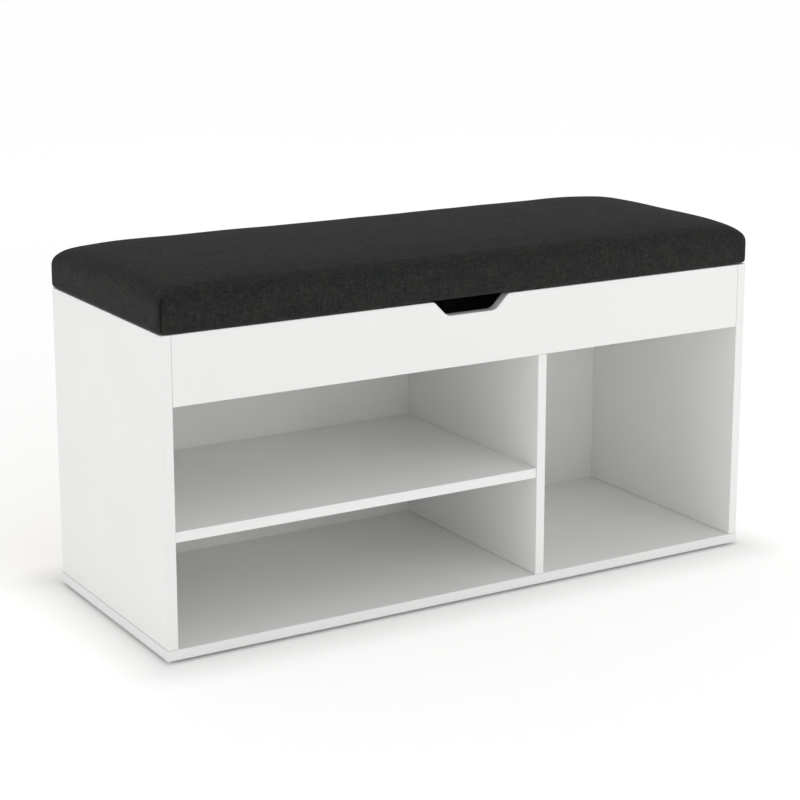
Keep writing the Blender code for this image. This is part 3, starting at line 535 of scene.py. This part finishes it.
def cushion_shape():
    """The cushion before the cloth settles: points and quads.

    A box grid is wrapped round a rounded plan, a rolled top edge, a crown and an eased lower
    edge, and its four corners sag a little where the cover is sewn.
    """
    lines_x, lines_y = stations(HALF_X), stations(HALF_Y)
    grid, quads = box_grid((len(lines_x) - 1, len(lines_y) - 1, SIDE_ROWS))
    x = lines_x[grid[:, 0].astype(int)]
    y = lines_y[grid[:, 1].astype(int)]
    level = grid[:, 2] / SIDE_ROWS

    inset = np.minimum(HALF_X - np.abs(x), HALF_Y - np.abs(y))
    on_top, under = level == 1, level == 0
    ease = np.clip(inset / CUSHION_EASE, 0, 1)
    height = CUSHION_EASE + (CUSHION_SIDE - CUSHION_ROLL - CUSHION_EASE) * level
    height = np.where(under, CUSHION_EASE * (1 - np.sqrt(1 - (1 - ease) ** 2)), height)
    height = np.where(on_top, cushion_profile(inset), height)

    # Rounded plan: each square ring of the grid becomes a rounded rectangle.
    radius = np.where(on_top, CUSHION_CORNER + CUSHION_SPREAD * inset, CUSHION_CORNER)
    radius = np.minimum(radius, HALF_Y - inset)
    ring_x, ring_y = HALF_X - inset, HALF_Y - inset
    near_x = np.abs(x) - (ring_x - radius)
    near_y = np.abs(y) - (ring_y - radius)
    turn = (near_x > 0) & (near_y > 0) & (radius > 0)
    length = np.hypot(near_x, near_y)
    largest = np.maximum(near_x, near_y)
    pull = np.where(turn & (length > 0), largest / np.where(length > 0, length, 1), 1)
    x = np.where(turn, np.sign(x) * (ring_x - radius + near_x * pull), x)
    y = np.where(turn, np.sign(y) * (ring_y - radius + near_y * pull), y)

    # The sewn corners pull the top down.
    away = np.hypot(HALF_X - np.abs(x), HALF_Y - np.abs(y))
    sag = CORNER_DROP * np.exp(-((away / CORNER_REACH) ** 2))
    height = height - sag * np.clip(height / CUSHION_SIDE, 0, 1) ** 1.5

    points = np.stack([x + LID_MIDDLE.x, y + LID_MIDDLE.y, height + LID_LOW.z], axis=1)
    return points, quads


def seam_distance(points):
    """Distance from the nearest upright corner seam, and how much of a seam is at that height."""
    across = np.abs(points[:, 0] - LID_MIDDLE.x) - (HALF_X - CUSHION_CORNER)
    along = np.abs(points[:, 1] - LID_MIDDLE.y) - (HALF_Y - CUSHION_CORNER)
    distance = np.abs(across - along) / math.sqrt(2)
    outside = (across > 0) & (along > 0)
    up = points[:, 2] - LID_LOW.z
    present = np.clip((up - 1 * MM) / (3 * MM), 0, 1) * np.clip((SEAM_TOP - up) / (5 * MM), 0, 1)
    return np.where(outside, distance, 1.0), present


def settle(skin):
    """Lets the cover swell over its foam, held underneath and along its corner seams."""
    points = read_points(skin.data)
    distance, present = seam_distance(points)
    up = points[:, 2] - LID_LOW.z
    held = np.clip(1 - (up - 3 * MM) / (9 * MM), 0, 1)
    held = np.maximum(held, present * np.clip(1 - distance / (7 * MM), 0, 1))
    group = skin.vertex_groups.new(name="held")
    for index in np.nonzero(held > 0.01)[0]:
        group.add([int(index)], float(held[index]), "REPLACE")
    cloth = skin.modifiers.new("cover", "CLOTH")
    settings = cloth.settings
    settings.quality = 5
    settings.mass = 0.3
    settings.vertex_group_mass = "held"
    settings.use_pressure = True
    settings.uniform_pressure_force = CLOTH_PRESSURE
    settings.effector_weights.gravity = 0
    scene = bpy.context.scene
    for step in range(1, CLOTH_FRAMES + 1):
        scene.frame_set(step)
    mesh = evaluated_mesh(skin)
    moved = read_points(mesh) - points
    scene.frame_set(1)
    skin.modifiers.clear()
    bpy.data.meshes.remove(mesh)

    # Only the swelling is kept: each point moves straight out, never in over the lid board.
    normals = np.empty(len(points) * 3)
    skin.data.vertex_normals.foreach_get("vector", normals)
    normals = normals.reshape(-1, 3)
    swell = SWELL * np.tanh(np.maximum((moved * normals).sum(axis=1), 0) / SWELL_AT)
    ends = np.array([edge.vertices[:] for edge in skin.data.edges])
    count = np.bincount(ends.ravel(), minlength=len(points))
    for _ in range(SWELL_SMOOTHING):
        near = np.bincount(ends[:, 0], swell[ends[:, 1]], len(points))
        near += np.bincount(ends[:, 1], swell[ends[:, 0]], len(points))
        swell = 0.5 * swell + 0.5 * near / count
    free = np.clip((up - LID_BOARD_TOP) / (10 * MM), 0, 1)
    write_points(skin.data, points + normals * (swell * free)[:, None])


def refine_seams(mesh):
    """Cuts the skin finer beside the seams, then sinks the seams between their lips."""
    for _ in range(2):
        bm = bmesh.new()
        bm.from_mesh(mesh)
        bm.verts.ensure_lookup_table()
        points = np.array([v.co[:] for v in bm.verts])
        distance, present = seam_distance(points)
        near = (distance < SEAM_ZONE) & (present > 0)
        edges = [e for e in bm.edges if all(near[v.index] for v in e.verts)]
        bmesh.ops.subdivide_edges(bm, edges=edges, cuts=1, use_grid_fill=True)
        bm.to_mesh(mesh)
        bm.free()
    points = read_points(mesh)
    distance, present = seam_distance(points)
    lip = 0.35 * SEAM_DEPTH * np.exp(-(((distance - 2.2 * SEAM_WIDTH) / SEAM_WIDTH) ** 2))
    groove = SEAM_DEPTH * np.exp(-((distance / SEAM_WIDTH) ** 2))
    outward = np.zeros_like(points)
    outward[:, 0] = np.sign(points[:, 0] - LID_MIDDLE.x) / math.sqrt(2)
    outward[:, 1] = np.sign(points[:, 1] - LID_MIDDLE.y) / math.sqrt(2)
    write_points(mesh, points + outward * ((lip - groove) * present)[:, None])


def lay_out_weave(mesh):
    """Unfolds the cover over the top and down each side, in metres, and marks the seams for painted
    shade.
    """
    points = read_points(mesh)
    layer = mesh.uv_layers.new(name="weave")
    top = LID_HIGH.z
    for face in mesh.polygons:
        across, along, _ = face.normal
        for loop in face.loop_indices:
            x, y, z = points[mesh.loops[loop].vertex_index]
            u, v = x - LID_MIDDLE.x, y - LID_MIDDLE.y
            if abs(across) > abs(along):
                u += math.copysign(top - z, across) * min(1, abs(across) * 1.5)
            else:
                v += math.copysign(top - z, along) * min(1, abs(along) * 1.5)
            layer.data[loop].uv = (u, v)
    # The seam mark says how much painted shade darkens the cloth in each corner seam's groove.
    distance, present = seam_distance(points)
    shade = np.exp(-((distance / (0.9 * SEAM_WIDTH)) ** 2)) * present
    marks = mesh.attributes.new("seam", "FLOAT", "POINT")
    marks.data.foreach_set("value", shade.astype(np.float32))


def make_cushion(weave):
    """The seat cushion: shaped, swollen by its foam, smoothed, seamed and given its weave."""
    points, quads = cushion_shape()
    mesh = bpy.data.meshes.new("seat_cushion")
    mesh.from_pydata([tuple(p) for p in points], [], quads)
    mesh.update()
    skin = bpy.data.objects.new("seat_cushion", mesh)
    bpy.context.scene.collection.objects.link(skin)
    settle(skin)
    points = read_points(mesh)
    # Foam is never quite even: slow rises and dips, under a millimetre.
    up = np.clip((points[:, 2] - LID_LOW.z - 6 * MM) / (20 * MM), 0, 1)
    wander = [noise.noise(Vector(p) * WANDER_SLOW) + 0.5 * noise.noise(Vector(p) * WANDER_QUICK)
              for p in points]
    points[:, 2] += FOAM_WANDER * np.array(wander) * up
    write_points(mesh, points)
    rounder = skin.modifiers.new("rounder", "SUBSURF")
    rounder.levels = rounder.render_levels = 1
    fine = evaluated_mesh(skin)
    skin.modifiers.clear()
    bpy.data.objects.remove(skin)
    refine_seams(fine)
    fine.shade_smooth()
    lay_out_weave(fine)
    cushion = put("seat_cushion", fine, weave, "seat_lid")
    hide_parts("seat_cover", "seat_foam")
    return cushion


# ---- Dust cover ----


def make_lining(cloth):
    """The dust cover: a thin sheet stapled over the turned-in fabric, puckered at its staples."""
    half_x, half_y = HALF_X - LINING_INSET, HALF_Y - LINING_INSET
    columns, rows = LINING_CELLS
    bm = bmesh.new()
    level = LID_LOW.z - LINING_LEVEL
    grid = []
    for j in range(rows + 1):
        line = []
        for i in range(columns + 1):
            x = (2 * i / columns - 1) * half_x
            y = (2 * j / rows - 1) * half_y
            edge = min(half_x - abs(x), half_y - abs(y))
            run = y if half_x - abs(x) < half_y - abs(y) else x
            pucker = math.sin(2 * math.pi * run / STAPLE_SPACING) ** 2
            near_edge = math.exp(-edge / PUCKER_REACH)
            drop = PUCKER * pucker * near_edge
            slack = noise.noise(Vector((x * 14, y * 14, 0.3))) * (1 - near_edge)
            z = level - drop - SLACK * (slack + 0.6) * (1 - near_edge)
            wobble = 0.8 * MM * noise.noise(Vector((run * 40, 7.1, 2.0)))
            inward = 1 - (wobble / half_y if edge < 1 * MM else 0)
            line.append(bm.verts.new((LID_MIDDLE.x + x * inward, LID_MIDDLE.y + y * inward, z)))
        grid.append(line)
    for low, high in zip(grid, grid[1:]):
        for i in range(columns):
            bm.faces.new((low[i], high[i], high[i + 1], low[i + 1]))
    mesh = bpy.data.meshes.new("lid_dust_cover")
    bm.to_mesh(mesh)
    bm.free()
    sheet = bpy.data.objects.new("lid_dust_cover", mesh)
    bpy.context.scene.collection.objects.link(sheet)
    thick = sheet.modifiers.new("thick", "SOLIDIFY")
    thick.thickness = LINING_THICKNESS
    thick.offset = 0
    solid = evaluated_mesh(sheet)
    bpy.data.objects.remove(sheet)
    solid.shade_smooth()
    lining = put("lid_dust_cover", solid, cloth, "seat_lid")
    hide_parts("dust_cover")
    return lining


# ---- What repeats: staples, stitches and screw heads ----


def new_tree(name, sizes):
    """A geometry tree with a Geometry input and output, and one named input for each size."""
    tree = bpy.data.node_groups.new(name, "GeometryNodeTree")
    face = tree.interface
    face.new_socket("Geometry", in_out="INPUT", socket_type="NodeSocketGeometry")
    for label, value in sizes.items():
        kind = "NodeSocketInt" if isinstance(value, int) else "NodeSocketFloat"
        face.new_socket(label, in_out="INPUT", socket_type=kind).default_value = value
    face.new_socket("Material", in_out="INPUT", socket_type="NodeSocketMaterial")
    face.new_socket("Geometry", in_out="OUTPUT", socket_type="NodeSocketGeometry")
    return tree, tree.nodes.new("NodeGroupInput").outputs


def end_tree(tree, instances, material):
    """Makes the copies real, gives them their material and ends the tree."""
    real = add_node(tree, "GeometryNodeRealizeInstances", {0: instances})
    painted = add_node(tree, "GeometryNodeSetMaterial", {"Geometry": real, "Material": material})
    add_node(tree, "NodeGroupOutput", {0: painted})
    return tree


def grow(name, tree, seeds, sizes, material, body):
    """Runs a tree on a mesh of seed points or paths, and keeps what it makes as a plain mesh."""
    carrier = bpy.data.objects.new(name + "_seeds", seeds)
    bpy.context.scene.collection.objects.link(carrier)
    made = carrier.modifiers.new(name, "NODES")
    made.node_group = tree
    values = {**sizes, "Material": material}
    for item in tree.interface.items_tree:
        if item.in_out == "INPUT" and item.name in values:
            made[item.identifier] = values[item.name]
    mesh = evaluated_mesh(carrier)
    carrier.modifiers.clear()
    bpy.data.objects.remove(carrier)
    mesh.name = name
    return put(name, mesh, material, body)


def seeds_from(points, edges=(), facing=()):
    """A mesh of loose points or paths, each point with the way that its copy faces."""
    mesh = bpy.data.meshes.new("seeds")
    mesh.from_pydata([tuple(p) for p in points], list(edges), [])
    if facing:
        marks = mesh.attributes.new("facing", "FLOAT_VECTOR", "POINT")
        marks.data.foreach_set("vector", np.array(facing, np.float32).ravel())
    return mesh


def staple_tree(sizes):
    """Staples along a path: a round wire crown whose ends turn up into the board."""
    tree, given = new_tree("staples", sizes)
    half = add_node(tree, "ShaderNodeMath", {0: given["Crown"], 1: 0.5}, operation="MULTIPLY")
    ends = []
    for sign in (-1, 1):
        reach = add_node(tree, "ShaderNodeMath", {0: half, 1: sign}, operation="MULTIPLY")
        ends.append(add_node(tree, "ShaderNodeCombineXYZ", {0: reach}))
    line = add_node(tree, "GeometryNodeCurvePrimitiveLine", {"Start": ends[0], "End": ends[1]})
    line = add_node(tree, "GeometryNodeResampleCurve", {"Curve": line, "Count": 9}, mode="COUNT")
    # The crown is straight; its last tenth at each end bends up by 1.6 wires.
    where = add_node(tree, "GeometryNodeInputPosition")
    x = add_node(tree, "ShaderNodeSeparateXYZ", {0: where}, "X")
    share = add_node(tree, "ShaderNodeMath", {0: x, 1: half}, operation="DIVIDE")
    share = add_node(tree, "ShaderNodeMath", {0: share}, operation="ABSOLUTE")
    bend = add_node(tree, "ShaderNodeMath", {0: share, 1: 8.0}, operation="POWER")
    rise = add_node(tree, "ShaderNodeMath", {0: given["Wire"], 1: 1.6}, operation="MULTIPLY")
    bend = add_node(tree, "ShaderNodeMath", {0: bend, 1: rise}, operation="MULTIPLY")
    bend = add_node(tree, "ShaderNodeCombineXYZ", {2: bend})
    line = add_node(tree, "GeometryNodeSetPosition", {0: line, "Offset": bend})
    thin = add_node(tree, "ShaderNodeMath", {0: given["Wire"], 1: 0.5}, operation="MULTIPLY")
    ring = add_node(tree, "GeometryNodeCurvePrimitiveCircle", {"Resolution": 6, "Radius": thin})
    wire = add_node(tree, "GeometryNodeCurveToMesh",
                    {"Curve": line, "Profile Curve": ring, "Fill Caps": True})

    path = add_node(tree, "GeometryNodeMeshToCurve", {0: given["Geometry"]})
    spots = tree.nodes.new("GeometryNodeCurveToPoints")
    spots.mode = "LENGTH"
    tree.links.new(path, spots.inputs["Curve"])
    tree.links.new(given["Spacing"], spots.inputs["Length"])
    aim = add_node(tree, "FunctionNodeAlignRotationToVector",
                   {"Vector": spots.outputs["Tangent"]}, axis="X", pivot_axis="Z")
    tilt = add_node(tree, "FunctionNodeRandomValue",
                    {2: -STAPLE_TILT, 3: STAPLE_TILT, "Seed": given["Seed"]}, 1, data_type="FLOAT")
    tilt = add_node(tree, "ShaderNodeCombineXYZ", {2: tilt})
    tilt = add_node(tree, "FunctionNodeEulerToRotation", {0: tilt})
    aim = add_node(tree, "FunctionNodeRotateRotation", {0: aim, 1: tilt})
    placed = add_node(tree, "GeometryNodeInstanceOnPoints",
                      {"Points": spots.outputs["Points"], "Instance": wire, "Rotation": aim})
    return end_tree(tree, placed, given["Material"])


def stitch_tree(sizes):
    """Stitches along a seam: short thread loops that lie across it."""
    tree, given = new_tree("stitches", sizes)
    bead = add_node(tree, "GeometryNodeMeshIcoSphere", {"Radius": 1.0, "Subdivisions": 1})
    girth = add_node(tree, "ShaderNodeCombineXYZ",
                     {0: given["Thread"], 1: given["Thread"], 2: given["Reach"]})
    bead = add_node(tree, "GeometryNodeTransform", {"Geometry": bead, "Scale": girth})
    side = add_node(tree, "GeometryNodeInputNamedAttribute", {"Name": "facing"},
                    data_type="FLOAT_VECTOR")
    aim = add_node(tree, "FunctionNodeAlignRotationToVector", {"Vector": side}, axis="Z")
    placed = add_node(tree, "GeometryNodeInstanceOnPoints",
                      {"Points": given["Geometry"], "Instance": bead, "Rotation": aim})
    return end_tree(tree, placed, given["Material"])


def screw_tree(sizes):
    """Screw heads on seed points: a low chamfered disc with a cross recess."""
    tree, given = new_tree("screw_heads", sizes)
    sized = {}
    for label, of, share in (("top", "Radius", 0.62), ("long", "Radius", 0.95),
                             ("slim", "Radius", 0.22), ("deep", "Rise", 1.3)):
        sized[label] = add_node(tree, "ShaderNodeMath", {0: given[of], 1: share},
                                operation="MULTIPLY")
    head = add_node(tree, "GeometryNodeMeshCone",
                    {"Vertices": 20, "Radius Top": sized["top"], "Radius Bottom": given["Radius"],
                     "Depth": given["Rise"]}, fill_type="NGON")
    lift = add_node(tree, "ShaderNodeCombineXYZ", {2: given["Rise"]})
    for along, across in (("long", "slim"), ("slim", "long")):
        size = add_node(tree, "ShaderNodeCombineXYZ",
                        {0: sized[along], 1: sized[across], 2: sized["deep"]})
        slot = add_node(tree, "GeometryNodeMeshCube", {"Size": size})
        slot = add_node(tree, "GeometryNodeTransform", {"Geometry": slot, "Translation": lift})
        head = add_node(tree, "GeometryNodeMeshBoolean", {"Mesh 1": head, "Mesh 2": slot},
                        operation="DIFFERENCE", solver="EXACT")
    facing = add_node(tree, "GeometryNodeInputNamedAttribute", {"Name": "facing"},
                      data_type="FLOAT_VECTOR")
    aim = add_node(tree, "FunctionNodeAlignRotationToVector", {"Vector": facing}, axis="Z")
    spin = add_node(tree, "FunctionNodeRandomValue",
                    {2: 0.0, 3: math.pi / 2, "Seed": given["Seed"]}, 1, data_type="FLOAT")
    spin = add_node(tree, "ShaderNodeCombineXYZ", {2: spin})
    spin = add_node(tree, "FunctionNodeEulerToRotation", {0: spin})
    aim = add_node(tree, "FunctionNodeRotateRotation", {0: aim, 1: spin}, rotation_space="LOCAL")
    placed = add_node(tree, "GeometryNodeInstanceOnPoints",
                      {"Points": given["Geometry"], "Instance": head, "Rotation": aim})
    return end_tree(tree, placed, given["Material"])


def make_staples(steel):
    """One round of staples that holds the dust cover, just in from its edge."""
    inset = LINING_INSET + STAPLE_FROM_EDGE
    half_x, half_y = HALF_X - inset, HALF_Y - inset
    z = LID_LOW.z - STAPLE_DROP
    corners = [(-1, -1), (1, -1), (1, 1), (-1, 1)]
    points = [(LID_MIDDLE.x + a * half_x, LID_MIDDLE.y + b * half_y, z) for a, b in corners]
    seeds = seeds_from(points, [(0, 1), (1, 2), (2, 3), (3, 0)])
    sizes = {"Crown": STAPLE_CROWN, "Wire": STAPLE_WIRE, "Spacing": STAPLE_SPACING, "Seed": 4}
    grow("lid_staples", staple_tree(sizes), seeds, sizes, steel, "seat_lid")


def make_stitches(cushion, thread):
    """One row of stitches down each corner seam, on the surface of the cushion."""
    points, facing = [], []
    for sx, sy in ((-1, -1), (-1, 1), (1, -1), (1, 1)):
        out = Vector((sx, sy, 0)).normalized()
        side = Vector((-out.y, out.x, 0))
        middle = LID_MIDDLE + Vector((sx * (HALF_X - CUSHION_CORNER),
                                      sy * (HALF_Y - CUSHION_CORNER), 0))
        for step in range(int((SEAM_TOP - 8 * MM) / STITCH_SPACING)):
            start = middle + out * 60 * MM
            start.z = LID_LOW.z + 5 * MM + step * STITCH_SPACING
            hit, spot, _, _ = cushion.ray_cast(start, -out, distance=0.1)
            if hit:
                points.append(spot - out * 0.05 * MM)
                facing.append(side)
    sizes = {"Thread": STITCH_THREAD, "Reach": STITCH_REACH}
    grow("corner_stitches", stitch_tree(sizes), seeds_from(points, (), facing), sizes, thread,
         "seat_lid")


def make_screws(steel):
    """Screw heads on both leaves of each hinge and under each stay's bracket."""
    rail_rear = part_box("rear_rail")[1][1]
    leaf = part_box("left_hinge_lid_leaf")
    leaf_end, leaf_root = leaf[0][1], LID_LOW.z
    seat = SCREW_RISE * 0.45  # from the metal's face to the middle of the head
    places = {"carcass": [], "seat_lid": []}
    for side in ("left", "middle", "right"):
        low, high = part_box(f"{side}_hinge_rail_leaf")
        for share, depth in LEAF_HOLES:
            x = low[0] + share * (high[0] - low[0])
            z = high[2] - 6 * MM - depth * (high[2] - low[2] - 12 * MM)
            places["carcass"].append(((x, rail_rear + LEAF_THICKNESS + seat, z), (0, 1, 0)))
            y = leaf[1][1] - 8 * MM - depth * (leaf[1][1] - leaf_end - 13 * MM)
            places["seat_lid"].append(((x, y, leaf_root - LEAF_THICKNESS - seat), (0, 0, -1)))
    for side, inward in (("left", 1), ("right", -1)):
        low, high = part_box(f"{side}_stay_bracket")
        x = high[0] - 7 * MM if inward > 0 else low[0] + 7 * MM
        for y in (low[1] + 6 * MM, high[1] - 6 * MM):
            z = high[2] - BRACKET_SHEET - seat
            places["seat_lid"].append(((x, y, z), (0, 0, -1)))
    sizes = {"Radius": SCREW_HEAD, "Rise": SCREW_RISE, "Seed": 7}
    tree = screw_tree(sizes)
    for body, spots in places.items():
        points, facing = zip(*spots)
        seeds = seeds_from(points, (), facing)
        grow(f"{body}_hinge_screws", tree, seeds, sizes, steel, body)


# ---- Finishes of the hard pieces ----


def finish_nodes():
    """Gives each hard piece its finish, and returns the steel that the staples are made of."""
    board = melamine_board("white_pearl_melamine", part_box("left_side_panel")[0][1])
    steel = plated_metal("bright_zinc_plated_steel", "C9CBCE", "A9ACB1", 0.32, (12, 0.4, 0.4), 9)
    looks = {
        "white_melamine": board,
        "white_hardboard": painted_hardboard(),
        "raw_chipboard": raw_chipboard(),
        "bright_steel": steel,
        "zinc_plate": plated_metal("zinc_plated_sheet", "C4C8CE", "A2A7AE", 0.4, (0.4, 10, 0.4), 6),
        "zinc_diecast": plated_metal("die_cast_zinc", "B4B6B8", "96999C", 0.52, (1, 1, 1), 1.5),
        "grey_nylon": moulded("grey_nylon", "9A9A98", 0.45, 0.6),
        "clear_rubber": moulded("clear_soft_rubber", "D4D4CF", 0.3, 0.45, 0.35),
    }
    slots = {row["node"]: row["material_slot"] for row in frame["record"]["subparts"]}
    for name, node in frame["nodes"].items():
        look = looks.get(slots[name])
        if name == "shelf":
            look = melamine_board("white_pearl_melamine_shelf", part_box("shelf")[0][1])
        if look:
            for place in node.material_slots:
                place.material = look
    return steel


# ---- Studio ----


def add_light(name, place, size, power):
    """A softbox that faces the bench: its place and size in metres, its power in watts."""
    lamp = bpy.data.lights.new(name, "AREA")
    lamp.shape = "RECTANGLE"
    lamp.size, lamp.size_y = size
    lamp.energy = power
    holder = bpy.data.objects.new(name, lamp)
    holder.location = place
    toward = Vector(LIGHT_AIM) - Vector(place)
    holder.rotation_euler = toward.to_track_quat("-Z", "Y").to_euler()
    bpy.context.scene.collection.objects.link(holder)


def make_studio():
    """The floor, the room's light, the softboxes and the camera."""
    bm = bmesh.new()
    bmesh.ops.create_grid(bm, x_segments=2, y_segments=2, size=FLOOR_REACH)
    mesh = bpy.data.meshes.new("studio_floor")
    bm.to_mesh(mesh)
    bm.free()
    mesh.materials.append(white_sweep())
    floor = bpy.data.objects.new("studio_floor", mesh)
    bpy.context.scene.collection.objects.link(floor)

    # An evenly lit white room, seen as plain white.
    world = bpy.data.worlds.new("studio")
    bpy.context.scene.world = world
    world.use_nodes = True
    tree = world.node_tree
    room = tree.nodes["Background"]
    room.inputs["Color"].default_value = (1, 1, 1, 1)
    room.inputs["Strength"].default_value = ROOM_STRENGTH
    backdrop = add_node(tree, "ShaderNodeBackground",
                        {"Color": (1, 1, 1, 1), "Strength": BACKDROP_STRENGTH})
    seen = add_node(tree, "ShaderNodeLightPath", output="Is Camera Ray")
    both = add_node(tree, "ShaderNodeMixShader", {0: seen, 1: room.outputs[0], 2: backdrop})
    tree.links.new(both, tree.nodes["World Output"].inputs["Surface"])

    for name, (place, size, power) in SOFTBOXES.items():
        add_light(name, place, size, power)

    scene = bpy.context.scene
    scene.view_settings.view_transform = "Standard"
    scene.view_settings.look = "None"
    lens = bpy.data.cameras.new("camera")
    lens.lens = CAMERA_LENS
    lens.sensor_width = 36
    lens.shift_y = CAMERA_SHIFT
    camera = bpy.data.objects.new("camera", lens)
    camera.location = CAMERA_PLACE
    camera.rotation_euler = (math.pi / 2 - CAMERA_PITCH, 0, -CAMERA_YAW)
    scene.collection.objects.link(camera)
    scene.camera = camera


make_studio()
steel = finish_nodes()
cushion = make_cushion(linen_weave())
make_stitches(cushion, sewing_thread())
make_lining(spunbond())
make_staples(steel)
make_screws(plated_metal("nickel_plated_screws", "A3A5A8", "7E8085", 0.3, (1, 1, 1), 2))
